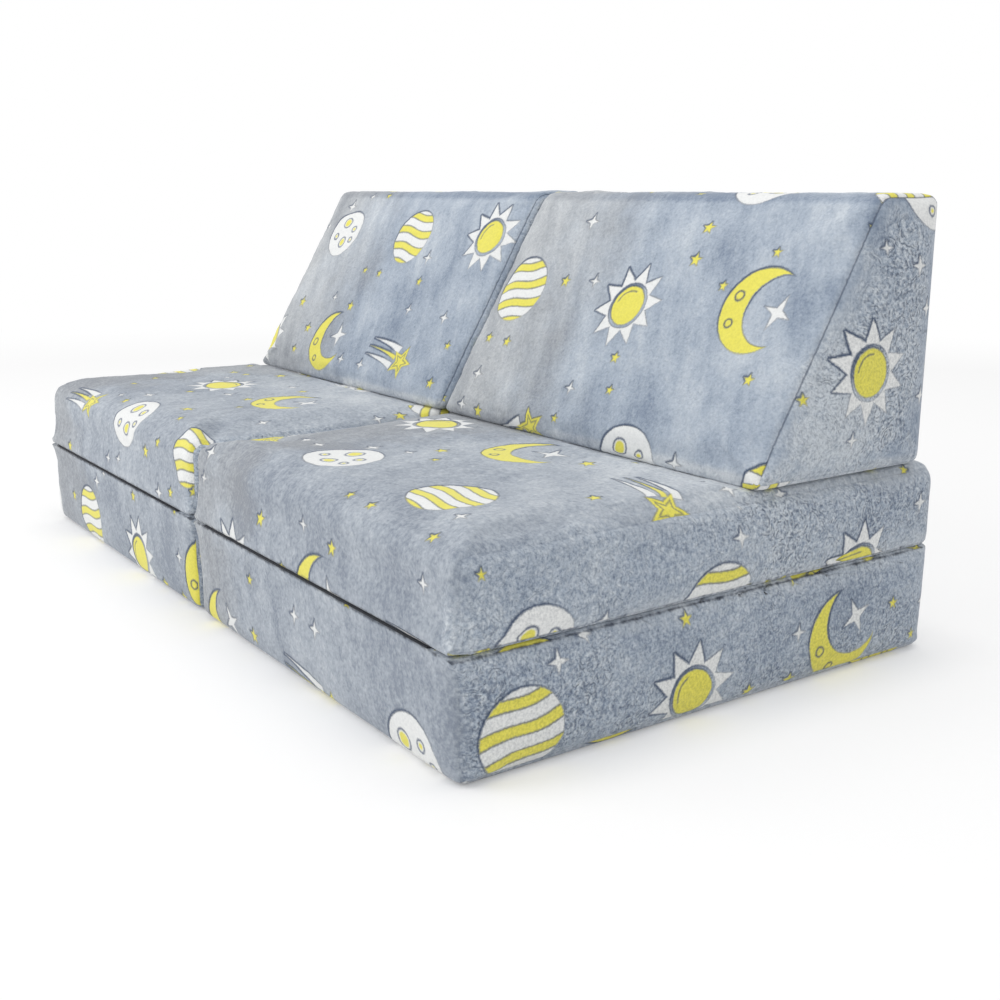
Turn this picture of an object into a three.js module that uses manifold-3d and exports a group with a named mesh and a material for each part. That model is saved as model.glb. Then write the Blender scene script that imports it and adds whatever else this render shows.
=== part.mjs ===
// Children's flip open sofa: two seats side by side, each a folding pair of foam blocks with a wedge back.
// Millimetres, +Z up, the front towards -Y. The origin is on the floor under the middle of the sofa.

import * as THREE from "three";
import { mergeVertices } from "three/addons/utils/BufferGeometryUtils.js";
import Module from "manifold-3d";

const wasm = await Module();
wasm.setup();

// Seat blocks
const SEAT_WIDTH = 598;
const SEAT_DEPTH = 654;
const LOWER_HEIGHT = 125;
const UPPER_HEIGHT = 97;
const BLOCK_CORNER = 26;
const LOWER_FOOT_EDGE = 9;
const CREASE_EDGE = 10;
const SEAT_TOP_EDGE = 24;

// Wedge backs
const BACK_END_INSET = 3;
const BACK_HEIGHT = 297;
const BACK_FOOT_DEPTH = 266;
const BACK_TOP_DEPTH = 90;
const BACK_INSET = 30;
const BACK_CORNER = 21;
const BACK_FOOT_EDGE = 11;
const BACK_TOP_EDGE = 18;

// Fabric and foam
const COVER_THICKNESS = 2.6;
const SEAT_CROWN = 7;
const CROWN_MARGIN = 8;
const BACK_CROWN = 3;
const BACK_FRONT_SWELL = 7;
const FRONT_SWELL = 3;
const SIDE_SWELL = 3;
const SIDE_DRAW = 4;
const FIT_GAP = 0.3;
const SMALLEST_RADIUS_SHARE = 0.15;

// Tapes that hold the two lower blocks together
const GRIP_TAPE_THICKNESS = 1.2;
const GRIP_TAPE_LENGTH = 300;
const GRIP_TAPE_HEIGHT = 46;

// Flip hinge: a folded tape in the crease, with a bead on the line that the seat turns about
const BEAD_RADIUS = 2.2;
const BEAD_REACH = 4.2;
const LEAF_THICKNESS = 1.1;
const HINGE_END_INSET = 42;
const FRONT_TAPE_ARC_DEG = { from: 144, to: 122 };
const FRONT_FLAP_ARC_DEG = { from: 216, to: 238 };

// Back hinge: a folded tape behind the foot of the wedge
const BACK_SWING_GAP = 8;
const BACK_TAPE_ARC_DEG = { from: 60, to: 88 };
const BACK_FLAP_ARC_DEG = { from: 339, to: 300 };

// Zips
const ZIP_LENGTH = 480;
const ZIP_TAPE_HEIGHT = 16;
const ZIP_TAPE_THICKNESS = 1.3;
const ZIP_RECESS = 0.5;
const TEETH_WIDTH = 5;
const TEETH_PROUD = 0.9;
const SLIDER_LENGTH = 11;
const SLIDER_WIDTH = 8;
const SLIDER_THICKNESS = 1.8;
const SLIDER_END_MARGIN = 6;
const PULL_LENGTH = 24;
const PULL_WIDTH = 5;
const PULL_THICKNESS = 1.2;
const PULL_OVERLAP = 0.6;
const BACK_ZIP_LIFT = 150;

// Underside
const BASE_INSET = 30;
const BASE_CORNER = 24;

// Faceting of the soft shapes, in steps
const OUTER_STEPS = { cornerSteps: 2, flatSteps: 4, edgeSteps: 3, sideSteps: 2 };
const INNER_STEPS = { cornerSteps: 1, flatSteps: 2, edgeSteps: 2, sideSteps: 2 };
const CROWN_STEPS = 3;
const ARC_STEPS = 5;
const BEAD_SIDES = 10;
const CORNER_STEPS = 4;

// One overrun for every cut
const OVERRUN = 5;

// Places that follow from the sizes
const GRIP_GAP = 2 * GRIP_TAPE_THICKNESS + 3 * FIT_GAP;
const SEAT_CENTRE = (GRIP_GAP + SEAT_WIDTH) / 2;
const SEAT_FRONT = -SEAT_DEPTH / 2;
const SEAT_REAR = SEAT_DEPTH / 2;
const UPPER_FOOT = LOWER_HEIGHT + FIT_GAP;
const UPPER_TOP = UPPER_FOOT + UPPER_HEIGHT;
const BACK_FOOT = UPPER_TOP + FIT_GAP;
const BACK_REAR = SEAT_REAR - BACK_INSET;
const BACK_FRONT = BACK_REAR - BACK_FOOT_DEPTH;
const FLIP_Y = SEAT_FRONT - BEAD_REACH;
const FLIP_Z = LOWER_HEIGHT + FIT_GAP / 2;
const SWING_Y = SEAT_REAR - (BACK_INSET - BACK_SWING_GAP) / 2;
const SWING_Z = UPPER_TOP + FIT_GAP / 2;
const BACK_WIDTH = SEAT_WIDTH - 2 * BACK_END_INSET;
const HINGE_LENGTH = SEAT_WIDTH - 2 * HINGE_END_INSET;
const SIDES = [
  { name: "left", sign: -1 },
  { name: "right", sign: 1 },
];

const group = new THREE.Group();

// Finishes
const PLUSH = { color: 0xafb6be, roughness: 0.95, metalness: 0 };
const FOAM = { color: 0xe9e3cf, roughness: 0.9, metalness: 0 };
const BASE_FABRIC = { color: 0x5c6268, roughness: 0.85, metalness: 0 };
const HINGE_TAPE = { color: 0x20262f, roughness: 0.9, metalness: 0 };
const ZIP_TAPE = { color: 0x8a96a6, roughness: 0.8, metalness: 0 };
const ZIP_SLIDER = { color: 0x9aa3ad, roughness: 0.4, metalness: 0.8 };
const GRIP_TAPE = { color: 0x2b3038, roughness: 0.95, metalness: 0 };

// Joining and cutting
function solid(geometry) {
  const bare = geometry.clone();
  bare.deleteAttribute("normal");
  bare.deleteAttribute("uv");
  const merged = mergeVertices(bare);
  const mesh = new wasm.Mesh({
    numProp: 3,
    vertProperties: Float32Array.from(merged.attributes.position.array),
    triVerts: Uint32Array.from(merged.index.array),
  });
  return new wasm.Manifold(mesh);
}

function geometryOf(body) {
  const mesh = body.getMesh();
  const geometry = new THREE.BufferGeometry();
  geometry.setAttribute("position", new THREE.BufferAttribute(mesh.vertProperties, 3));
  geometry.setIndex(new THREE.BufferAttribute(mesh.triVerts, 1));
  geometry.computeVertexNormals();
  return geometry;
}

function place(name, geometry, finish, x, y, z) {
  const mesh = new THREE.Mesh(geometry, new THREE.MeshStandardMaterial(finish));
  mesh.name = name;
  mesh.position.set(x, y, z);
  group.add(mesh);
}

// A radius that has shrunk with its skin but never to nothing
function shrunk(radius, inset) {
  return Math.max(radius - inset, radius * SMALLEST_RADIUS_SHARE);
}

// The heights of a cushion's rings, from its foot to its top, and how far each lies inside the widest one
function rings(form, inset, steps) {
  const foot = shrunk(form.footEdge, inset);
  const top = shrunk(form.topEdge, inset);
  const low = inset + foot;
  const high = form.height - inset - top;
  const list = [];
  for (let k = 0; k <= steps.edgeSteps; k += 1) {
    const turn = (k / steps.edgeSteps) * (Math.PI / 2);
    list.push({ inset: foot * (1 - Math.sin(turn)), z: low - foot * Math.cos(turn) });
  }
  for (let k = 1; k < steps.sideSteps; k += 1) {
    list.push({ inset: 0, z: THREE.MathUtils.lerp(low, high, k / steps.sideSteps) });
  }
  for (let k = 0; k <= steps.edgeSteps; k += 1) {
    const turn = (k / steps.edgeSteps) * (Math.PI / 2);
    list.push({ inset: top * (1 - Math.cos(turn)), z: high + top * Math.sin(turn) });
  }
  return list;
}

// Where grid line number `index` lies: its share of the straight run, and its share of the corner, -1 to 1
function gridLine(index, cornerSteps, straightShares) {
  const last = straightShares.length - 1;
  const step = index - cornerSteps;
  if (step < 0) {
    return { straight: 0, corner: step / cornerSteps };
  }
  if (step > last) {
    return { straight: 1, corner: (step - last) / cornerSteps };
  }
  return { straight: straightShares[step], corner: 0 };
}

function evenShares(steps) {
  return Array.from({ length: steps + 1 }, (_, k) => k / steps);
}

// A point of the square corner of the grid, turned onto the round corner of the cushion
function roundCorner(acrossShare, alongShare, radius) {
  const across = Math.abs(acrossShare);
  const along = Math.abs(alongShare);
  const reach = radius * Math.max(across, along);
  if (reach === 0) {
    return { x: 0, y: 0 };
  }
  const eighth = Math.PI / 4;
  const turn = across >= along ? (along / across) * eighth : 2 * eighth - (across / along) * eighth;
  return {
    x: Math.sign(acrossShare) * reach * Math.cos(turn),
    y: Math.sign(alongShare) * reach * Math.sin(turn),
  };
}

// How far one side stands out: swollen at its middle, drawn in along its edges, still at its corners
function sidePush(swell, draw, alongShare, heightShare) {
  const middle = 1 - alongShare ** 2;
  return middle * ((swell + draw) * (1 - heightShare ** 2) - draw);
}

// A foam block in a fitted cover. The skin lies `inset` inside the outer one. Its foot is flat at z = 0, its
// front at y = 0, and `outer` is 1 or -1 for the end of it that faces away from the other seat.
function cushion(form, inset, steps, outer) {
  const acrossShares = evenShares(steps.flatSteps);
  const alongShares = form.alongShares;
  const list = rings(form, inset, steps);
  const counts = [acrossShares, alongShares].map((shares) => 2 * steps.cornerSteps + shares.length - 1);
  const box = new THREE.BoxGeometry(1, 1, 1, counts[0], counts[1], list.length - 1);
  const places = box.attributes.position;
  const low = list[steps.edgeSteps].z;
  const high = list[steps.edgeSteps + steps.sideSteps].z;
  for (let n = 0; n < places.count; n += 1) {
    const i = Math.round((places.getX(n) + 1 / 2) * counts[0]);
    const j = Math.round((places.getY(n) + 1 / 2) * counts[1]);
    const ring = list[Math.round((places.getZ(n) + 1 / 2) * (list.length - 1))];
    const radius = shrunk(shrunk(form.corner, inset), ring.inset);
    const front = form.lean * (ring.z / form.height) + inset + ring.inset;
    const rear = form.depth - inset - ring.inset;
    const half = form.width / 2 - inset - ring.inset;
    const across = gridLine(i, steps.cornerSteps, acrossShares);
    const along = gridLine(j, steps.cornerSteps, alongShares);
    const round = roundCorner(across.corner, along.corner, radius);
    let x = THREE.MathUtils.lerp(radius - half, half - radius, across.straight) + round.x;
    let y = THREE.MathUtils.lerp(front + radius, rear - radius, along.straight) + round.y;
    let z = ring.z;
    const acrossShare = x / half;
    const alongShare = (2 * y - front - rear) / (rear - front);
    const heightShare = THREE.MathUtils.clamp((2 * z - low - high) / (high - low), -1, 1);
    const crownShare = Math.min((2 * (y - front)) / (form.crownDepth - front) - 1, 1);
    if (ring === list[list.length - 1]) {
      z += form.crown * (1 - acrossShare ** 2) * (1 - crownShare ** 2);
    }
    const endPush = sidePush(form.endSwell, form.endDraw, alongShare, heightShare);
    x += outer * endPush * Math.max(0, acrossShare * outer);
    y -= sidePush(form.frontSwell, form.frontDraw, acrossShare, heightShare) * Math.max(0, -alongShare);
    places.setXYZ(n, x, y, z);
  }
  box.computeVertexNormals();
  return box;
}

// Forms of the three blocks of a seat
const CROWN_DEPTH = BACK_FRONT - SEAT_FRONT - CROWN_MARGIN;
const CROWN_END_SHARE = (CROWN_DEPTH - BLOCK_CORNER) / (SEAT_DEPTH - 2 * BLOCK_CORNER);
const SEAT_SHARES = [...evenShares(CROWN_STEPS).map((share) => share * CROWN_END_SHARE), 1];
const LOWER_FORM = {
  width: SEAT_WIDTH,
  depth: SEAT_DEPTH,
  height: LOWER_HEIGHT,
  lean: 0,
  corner: BLOCK_CORNER,
  footEdge: LOWER_FOOT_EDGE,
  topEdge: CREASE_EDGE,
  crown: 0,
  crownDepth: SEAT_DEPTH,
  endSwell: SIDE_SWELL,
  endDraw: SIDE_DRAW,
  frontSwell: FRONT_SWELL,
  frontDraw: 0,
  alongShares: SEAT_SHARES,
};
const UPPER_FORM = {
  ...LOWER_FORM,
  height: UPPER_HEIGHT,
  footEdge: CREASE_EDGE,
  topEdge: SEAT_TOP_EDGE,
  crown: SEAT_CROWN,
  crownDepth: CROWN_DEPTH,
};
const BACK_FORM = {
  width: BACK_WIDTH,
  depth: BACK_FOOT_DEPTH,
  height: BACK_HEIGHT,
  lean: BACK_FOOT_DEPTH - BACK_TOP_DEPTH,
  corner: BACK_CORNER,
  footEdge: BACK_FOOT_EDGE,
  topEdge: BACK_TOP_EDGE,
  crown: BACK_CROWN,
  crownDepth: BACK_FOOT_DEPTH,
  endSwell: SIDE_SWELL,
  endDraw: SIDE_DRAW,
  frontSwell: BACK_FRONT_SWELL,
  frontDraw: SIDE_DRAW,
  alongShares: evenShares(CROWN_STEPS),
};

// A flat plate with round corners, lying on z = 0
function plate(width, depth, corner, thickness) {
  const x = width / 2;
  const y = depth / 2;
  const outline = new THREE.Shape();
  outline.absarc(x - corner, y - corner, corner, 0, Math.PI / 2);
  outline.absarc(corner - x, y - corner, corner, Math.PI / 2, Math.PI);
  outline.absarc(corner - x, corner - y, corner, Math.PI, Math.PI * 1.5);
  outline.absarc(x - corner, corner - y, corner, Math.PI * 1.5, Math.PI * 2);
  return new THREE.ExtrudeGeometry(outline, {
    depth: thickness,
    bevelEnabled: false,
    curveSegments: CORNER_STEPS,
  });
}

// A profile in Y and Z, drawn out along X about x = 0
function alongX(profile, length) {
  const geometry = new THREE.ExtrudeGeometry(profile, { depth: length, bevelEnabled: false });
  const axes = [new THREE.Vector3(0, 1, 0), new THREE.Vector3(0, 0, 1), new THREE.Vector3(1, 0, 0)];
  geometry.applyMatrix4(new THREE.Matrix4().makeBasis(...axes));
  geometry.translate(-length / 2, 0, 0);
  return geometry;
}

function arcPoints(centre, radius, arcDeg) {
  return evenShares(ARC_STEPS).map((share) => {
    const turn = THREE.MathUtils.degToRad(THREE.MathUtils.lerp(arcDeg.from, arcDeg.to, share));
    return new THREE.Vector2(centre.y + radius * Math.cos(turn), centre.z + radius * Math.sin(turn));
  });
}

// A folded tape: a line of points in Y and Z, given its thickness and drawn out along X
function tape(points, thickness, length) {
  const sides = points.map((point, k) => {
    const ahead = points[Math.min(k + 1, points.length - 1)];
    const behind = points[Math.max(k - 1, 0)];
    const run = ahead.clone().sub(behind).normalize();
    return new THREE.Vector2(-run.y, run.x).multiplyScalar(thickness / 2);
  });
  const one = points.map((point, k) => point.clone().add(sides[k]));
  const other = points.map((point, k) => point.clone().sub(sides[k]));
  return alongX(new THREE.Shape([...one, ...other.reverse()]), length);
}

function bead(y, z, length) {
  const rod = new THREE.CylinderGeometry(BEAD_RADIUS, BEAD_RADIUS, length, BEAD_SIDES);
  rod.rotateZ(Math.PI / 2);
  rod.translate(0, y, z);
  return rod;
}

// A hinge tape: the leaf that carries the bead, and the leaf that turns about it. The hinge line is at 0, 0.
function beadLeaf(centre, radius, arcDeg) {
  const middle = radius + FIT_GAP + LEAF_THICKNESS / 2;
  const points = [new THREE.Vector2(0, 0), ...arcPoints(centre, middle, arcDeg)];
  const leaf = solid(tape(points, LEAF_THICKNESS, HINGE_LENGTH));
  return geometryOf(leaf.add(solid(bead(0, 0, HINGE_LENGTH))));
}

function turningLeaf(centre, radius, arcDeg) {
  const middle = radius + FIT_GAP + LEAF_THICKNESS / 2;
  const points = arcPoints(centre, middle, arcDeg);
  const start = points[0].clone().setLength(BEAD_RADIUS + FIT_GAP);
  return tape([start, ...points], LEAF_THICKNESS, HINGE_LENGTH);
}

// Zip: woven tape with its row of teeth, and the slider that runs on it. The cover's face is at y = 0.
function zip() {
  const inner = -ZIP_RECESS - ZIP_TAPE_THICKNESS;
  const outline = [
    [inner, -ZIP_TAPE_HEIGHT / 2],
    [-ZIP_RECESS, -ZIP_TAPE_HEIGHT / 2],
    [-ZIP_RECESS, -TEETH_WIDTH / 2],
    [TEETH_PROUD, -TEETH_WIDTH / 2],
    [TEETH_PROUD, TEETH_WIDTH / 2],
    [-ZIP_RECESS, TEETH_WIDTH / 2],
    [-ZIP_RECESS, ZIP_TAPE_HEIGHT / 2],
    [inner, ZIP_TAPE_HEIGHT / 2],
  ].map(([y, z]) => new THREE.Vector2(y, z));
  return alongX(new THREE.Shape(outline), ZIP_LENGTH);
}

// A plate that stands against the back of the sofa, its thickness towards +Y
function standingPlate(width, height, corner, thickness) {
  const geometry = plate(width, height, corner, thickness);
  geometry.rotateX(Math.PI / 2);
  geometry.translate(0, thickness, 0);
  return geometry;
}

function slider() {
  const body = standingPlate(SLIDER_LENGTH, SLIDER_WIDTH, SLIDER_WIDTH / 4, SLIDER_THICKNESS);
  body.translate(0, TEETH_PROUD + FIT_GAP, 0);
  const pull = standingPlate(PULL_WIDTH, PULL_LENGTH, PULL_WIDTH / 3, PULL_THICKNESS);
  const pullFoot = TEETH_PROUD + FIT_GAP + SLIDER_THICKNESS - PULL_OVERLAP;
  pull.translate(0, pullFoot, (SLIDER_WIDTH - PULL_LENGTH) / 2);
  return geometryOf(solid(body).add(solid(pull)));
}

function zipSlot(depth) {
  const width = ZIP_LENGTH + 2 * FIT_GAP;
  const height = ZIP_TAPE_HEIGHT + 2 * FIT_GAP;
  const slot = new THREE.BoxGeometry(width, 2 * (COVER_THICKNESS + FIT_GAP), height);
  slot.translate(0, depth, 0);
  return slot;
}

// A cover: the outer skin less the foam's space, open behind where the zip is sewn in
function cover(form, outer, zipHeight) {
  const skin = solid(cushion(form, 0, OUTER_STEPS, outer));
  const space = solid(cushion(form, COVER_THICKNESS, INNER_STEPS, outer));
  const slot = zipSlot(form.depth);
  slot.translate(0, 0, zipHeight);
  return skin.subtract(space).subtract(solid(slot));
}

function core(form, outer) {
  return cushion(form, COVER_THICKNESS + FIT_GAP, INNER_STEPS, outer);
}

// One zip with its slider, on the rear face at y = rear
function placeZip(name, x, rear, z, outer) {
  place(`${name}_zip`, zip(), ZIP_TAPE, x, rear, z);
  const closed = x + outer * (ZIP_LENGTH / 2 - SLIDER_END_MARGIN - SLIDER_LENGTH / 2);
  place(`${name}_zip_slider`, slider(), ZIP_SLIDER, closed, rear, z);
}

// The block that stands on the floor
function placeLower(side, x) {
  const name = `lower_${side.name}`;
  const baseWidth = SEAT_WIDTH - 2 * BASE_INSET;
  const baseDepth = SEAT_DEPTH - 2 * BASE_INSET;
  const opening = plate(baseWidth, baseDepth, BASE_CORNER, COVER_THICKNESS + OVERRUN);
  opening.translate(0, SEAT_DEPTH / 2, -OVERRUN);
  const zipHeight = LOWER_HEIGHT / 2;
  const shell = cover(LOWER_FORM, side.sign, zipHeight).subtract(solid(opening));
  place(`${name}_cover`, geometryOf(shell), PLUSH, x, SEAT_FRONT, 0);
  place(`${name}_core`, core(LOWER_FORM, side.sign), FOAM, x, SEAT_FRONT, 0);
  const trim = 2 * FIT_GAP;
  const panel = plate(baseWidth - trim, baseDepth - trim, BASE_CORNER - FIT_GAP, COVER_THICKNESS);
  place(`${name}_base_panel`, panel, BASE_FABRIC, x, 0, 0);
  placeZip(name, x, SEAT_REAR, zipHeight, side.sign);
}

// The block that flips forward
function placeUpper(side, x) {
  const name = `upper_${side.name}`;
  const zipHeight = (CREASE_EDGE + UPPER_HEIGHT - SEAT_TOP_EDGE) / 2;
  place(`${name}_cover`, geometryOf(cover(UPPER_FORM, side.sign, zipHeight)), PLUSH, x, SEAT_FRONT, UPPER_FOOT);
  place(`${name}_core`, core(UPPER_FORM, side.sign), FOAM, x, SEAT_FRONT, UPPER_FOOT);
  placeZip(name, x, SEAT_REAR, UPPER_FOOT + zipHeight, side.sign);
}

// The wedge that stays upright while its block flips
function placeBack(side, x) {
  const name = `back_${side.name}`;
  const shell = cover(BACK_FORM, side.sign, BACK_ZIP_LIFT);
  place(`${name}_cover`, geometryOf(shell), PLUSH, x, BACK_FRONT, BACK_FOOT);
  place(`${name}_core`, core(BACK_FORM, side.sign), FOAM, x, BACK_FRONT, BACK_FOOT);
  placeZip(name, x, BACK_REAR, BACK_FOOT + BACK_ZIP_LIFT, side.sign);
}

// The tape in the crease between the blocks, and the one behind the foot of the wedge
function placeHinges(side, x) {
  const edgeY = SEAT_FRONT + CREASE_EDGE - FLIP_Y;
  const lowerEdge = { y: edgeY, z: LOWER_HEIGHT - CREASE_EDGE - FLIP_Z };
  const upperEdge = { y: edgeY, z: UPPER_FOOT + CREASE_EDGE - FLIP_Z };
  const tapeLeaf = beadLeaf(lowerEdge, CREASE_EDGE, FRONT_TAPE_ARC_DEG);
  place(`front_hinge_tape_${side.name}`, tapeLeaf, HINGE_TAPE, x, FLIP_Y, FLIP_Z);
  const flapLeaf = turningLeaf(upperEdge, CREASE_EDGE, FRONT_FLAP_ARC_DEG);
  place(`front_hinge_flap_${side.name}`, flapLeaf, HINGE_TAPE, x, FLIP_Y, FLIP_Z);
  const topEdge = { y: SEAT_REAR - SEAT_TOP_EDGE - SWING_Y, z: UPPER_TOP - SEAT_TOP_EDGE - SWING_Z };
  const footEdge = { y: BACK_REAR - BACK_FOOT_EDGE - SWING_Y, z: BACK_FOOT + BACK_FOOT_EDGE - SWING_Z };
  const seatLeaf = beadLeaf(topEdge, SEAT_TOP_EDGE, BACK_TAPE_ARC_DEG);
  place(`back_hinge_tape_${side.name}`, seatLeaf, HINGE_TAPE, x, SWING_Y, SWING_Z);
  const wedgeLeaf = turningLeaf(footEdge, BACK_FOOT_EDGE, BACK_FLAP_ARC_DEG);
  place(`back_hinge_flap_${side.name}`, wedgeLeaf, HINGE_TAPE, x, SWING_Y, SWING_Z);
}

// Hook tape on one lower block and loop tape on the other, pressed together between them
function placeGrip(name, sign) {
  const strip = new THREE.BoxGeometry(GRIP_TAPE_THICKNESS, GRIP_TAPE_LENGTH, GRIP_TAPE_HEIGHT);
  const x = (sign * (FIT_GAP + GRIP_TAPE_THICKNESS)) / 2;
  place(name, strip, GRIP_TAPE, x, 0, LOWER_HEIGHT / 2);
}

for (const side of SIDES) {
  const x = side.sign * SEAT_CENTRE;
  placeLower(side, x);
  placeUpper(side, x);
  placeBack(side, x);
  placeHinges(side, x);
}
placeGrip("hook_tape", SIDES[0].sign);
placeGrip("loop_tape", SIDES[1].sign);

export default group;
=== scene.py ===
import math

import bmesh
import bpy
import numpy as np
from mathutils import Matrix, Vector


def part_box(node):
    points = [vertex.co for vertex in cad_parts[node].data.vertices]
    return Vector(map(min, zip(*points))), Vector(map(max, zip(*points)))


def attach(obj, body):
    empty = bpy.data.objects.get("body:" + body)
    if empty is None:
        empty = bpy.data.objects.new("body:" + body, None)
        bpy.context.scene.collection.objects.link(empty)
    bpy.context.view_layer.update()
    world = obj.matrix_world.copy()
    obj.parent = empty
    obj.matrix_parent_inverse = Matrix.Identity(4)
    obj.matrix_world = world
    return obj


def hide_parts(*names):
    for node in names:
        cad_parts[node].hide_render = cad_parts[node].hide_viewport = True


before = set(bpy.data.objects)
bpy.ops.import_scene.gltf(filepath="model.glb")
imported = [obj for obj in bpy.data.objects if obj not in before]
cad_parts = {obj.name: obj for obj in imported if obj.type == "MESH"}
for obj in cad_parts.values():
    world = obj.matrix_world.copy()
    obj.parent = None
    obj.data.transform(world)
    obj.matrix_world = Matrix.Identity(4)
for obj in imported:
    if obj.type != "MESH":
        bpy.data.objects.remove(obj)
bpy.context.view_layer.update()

# %% [markdown]
# # A children's flip open sofa
# The CAD model is already in the scene: six foam blocks in covers, hinge tapes, zips and base panels, each node
# riding on its body. It stays where it is, as the frame for everything here. Every node is replaced by a dressed
# piece, modelled at the same place in metres, with the front towards -Y.

# %% [markdown]
# ## Camera
# The camera was solved from the outline and the creases of the photograph: it stands low at the right, about 1.7 m
# away, and looks down by 14 degrees. It comes first, so that every later piece can be compared from there.

# %% Camera
CAMERA_PLACE = (1.4617, -0.8852, 0.5207)
CAMERA_DOWN_DEG = 13.81
CAMERA_TURN_DEG = 55.022
CAMERA_LENS_MM = 45.5
SENSOR_MM = 36

bpy.ops.object.camera_add(location=CAMERA_PLACE)
camera = bpy.context.object
camera.name = "camera"
camera.rotation_euler = (math.radians(90 - CAMERA_DOWN_DEG), 0, math.radians(CAMERA_TURN_DEG))
camera.data.lens = CAMERA_LENS_MM
camera.data.sensor_width = SENSOR_MM
bpy.context.scene.camera = camera
print("camera", camera.name, "lens", camera.data.lens, "mm")

# %% [markdown]
# ## Helpers for modelling
# Everything is modelled as by hand: a primitive is added, shaped in edit mode and finished with modifiers. An
# operator acts on all that is selected, and the frame leaves its nodes selected, so each step deselects first.

# %% Selecting
def start_fresh():
    """Leaves edit mode and deselects everything."""
    if bpy.context.mode != "OBJECT":
        bpy.ops.object.mode_set(mode="OBJECT")
    bpy.ops.object.select_all(action="DESELECT")


def take(piece):
    """Makes this piece the only one selected, and the active one."""
    start_fresh()
    piece.select_set(True)
    bpy.context.view_layer.objects.active = piece


def edit(piece):
    take(piece)
    bpy.ops.object.mode_set(mode="EDIT")


def choose(kind, test):
    """In edit mode, selects each vertex, edge or face whose corners pass the test."""
    bpy.ops.mesh.select_mode(type=kind)
    bpy.ops.mesh.select_all(action="DESELECT")
    mesh = bmesh.from_edit_mesh(bpy.context.object.data)
    for part in {"VERT": mesh.verts, "EDGE": mesh.edges, "FACE": mesh.faces}[kind]:
        corners = [part.co] if kind == "VERT" else [vertex.co for vertex in part.verts]
        if test(corners):
            part.select_set(True)
    mesh.select_flush_mode()


# %% Making, moving and finishing
def box_piece(name, low, high):
    """A cube of that size at its place, which its mesh holds."""
    start_fresh()
    low, high = Vector(low), Vector(high)
    bpy.ops.mesh.primitive_cube_add(size=1, location=(low + high) / 2, scale=high - low)
    piece = bpy.context.object
    piece.name = name
    bpy.ops.object.transform_apply(location=True, rotation=True, scale=True)
    return piece


def finish_with(piece, kind, **settings):
    """Leaves edit mode, then adds a modifier with these settings and applies it."""
    take(piece)
    modifier = piece.modifiers.new(kind.title(), kind)
    for key, value in settings.items():
        setattr(modifier, key, value)
    bpy.ops.object.modifier_apply(modifier=modifier.name)


def fine_bevel(piece, width, segments):
    """Rounds the sharp edges only."""
    finish_with(piece, "BEVEL", width=width, segments=segments, limit_method="ANGLE")


def copy_along(piece, count, step):
    """Copies of the piece, each one step further than the last."""
    finish_with(piece, "ARRAY", count=count, use_relative_offset=False, use_constant_offset=True,
                constant_offset_displace=step)


def vectors(items, key):
    """One vector of each item, as the rows of an array."""
    found = np.empty(3 * len(items))
    items.foreach_get(key, found)
    return found.reshape(-1, 3)


def places(piece):
    return vectors(piece.data.vertices, "co")


def normals(piece):
    return vectors(piece.data.vertices, "normal")


def set_places(piece, moved):
    piece.data.vertices.foreach_set("co", moved.ravel())
    piece.data.update()


def smooth(piece, angle_deg=180):
    take(piece)
    bpy.ops.object.shade_smooth_by_angle(angle=math.radians(angle_deg))


# %% [markdown]
# ## The six cushions
# Each block of the real sofa is cut foam in a fitted plush cover, so its faces are nearly flat and its edges soft.
# A block could be a cube with a bevel, but a real cover is stuffed: it swells in the middle of each free face and
# stays tight at the edges. So each block starts as a bevelled cube, gets an even grid of faces with a voxel remesh,
# and is then stuffed by a short cloth simulation with pressure inside. The faces that rest on something are held.

# %% Sizes of the blocks
GRID = 0.0075
SEAT_CENTRE = sum(corner.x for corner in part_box("upper_right_zip")) / 2
SEAT_WIDTH = 0.598
SEAT_FRONT, SEAT_REAR = -0.327, 0.327
SEAT_DEPTH = SEAT_REAR - SEAT_FRONT
ZIP_LENGTH = 0.480
ZIP_HALF_HEIGHT = 0.008
BLOCKS = {
    "lower": dict(width=SEAT_WIDTH, front=SEAT_FRONT, depth=SEAT_DEPTH, foot=0.0, height=0.125, lean=0.0,
                  corner=0.019, foot_edge=0.009, top_edge=0.006, crown=0.0, front_cap=0.004, brow=0.0036, zip=0.0625,
                  fold=0.125),
    "upper": dict(width=SEAT_WIDTH, front=SEAT_FRONT, depth=SEAT_DEPTH, foot=0.1253, height=0.097, lean=0.0,
                  corner=0.019, foot_edge=0.006, top_edge=0.022, crown=0.008, front_cap=0.004, brow=0.0036,
                  zip=0.0415, fold=0.0),
    "back": dict(width=0.596, front=0.031, depth=0.266, foot=0.2226, height=0.297, lean=0.176,
                 corner=0.014, foot_edge=0.010, top_edge=0.014, crown=0.003, front_cap=0.007, brow=0.0,
                 zip=0.150, fold=0.0),
}
print("seat centre at x =", round(SEAT_CENTRE, 5))


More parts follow.
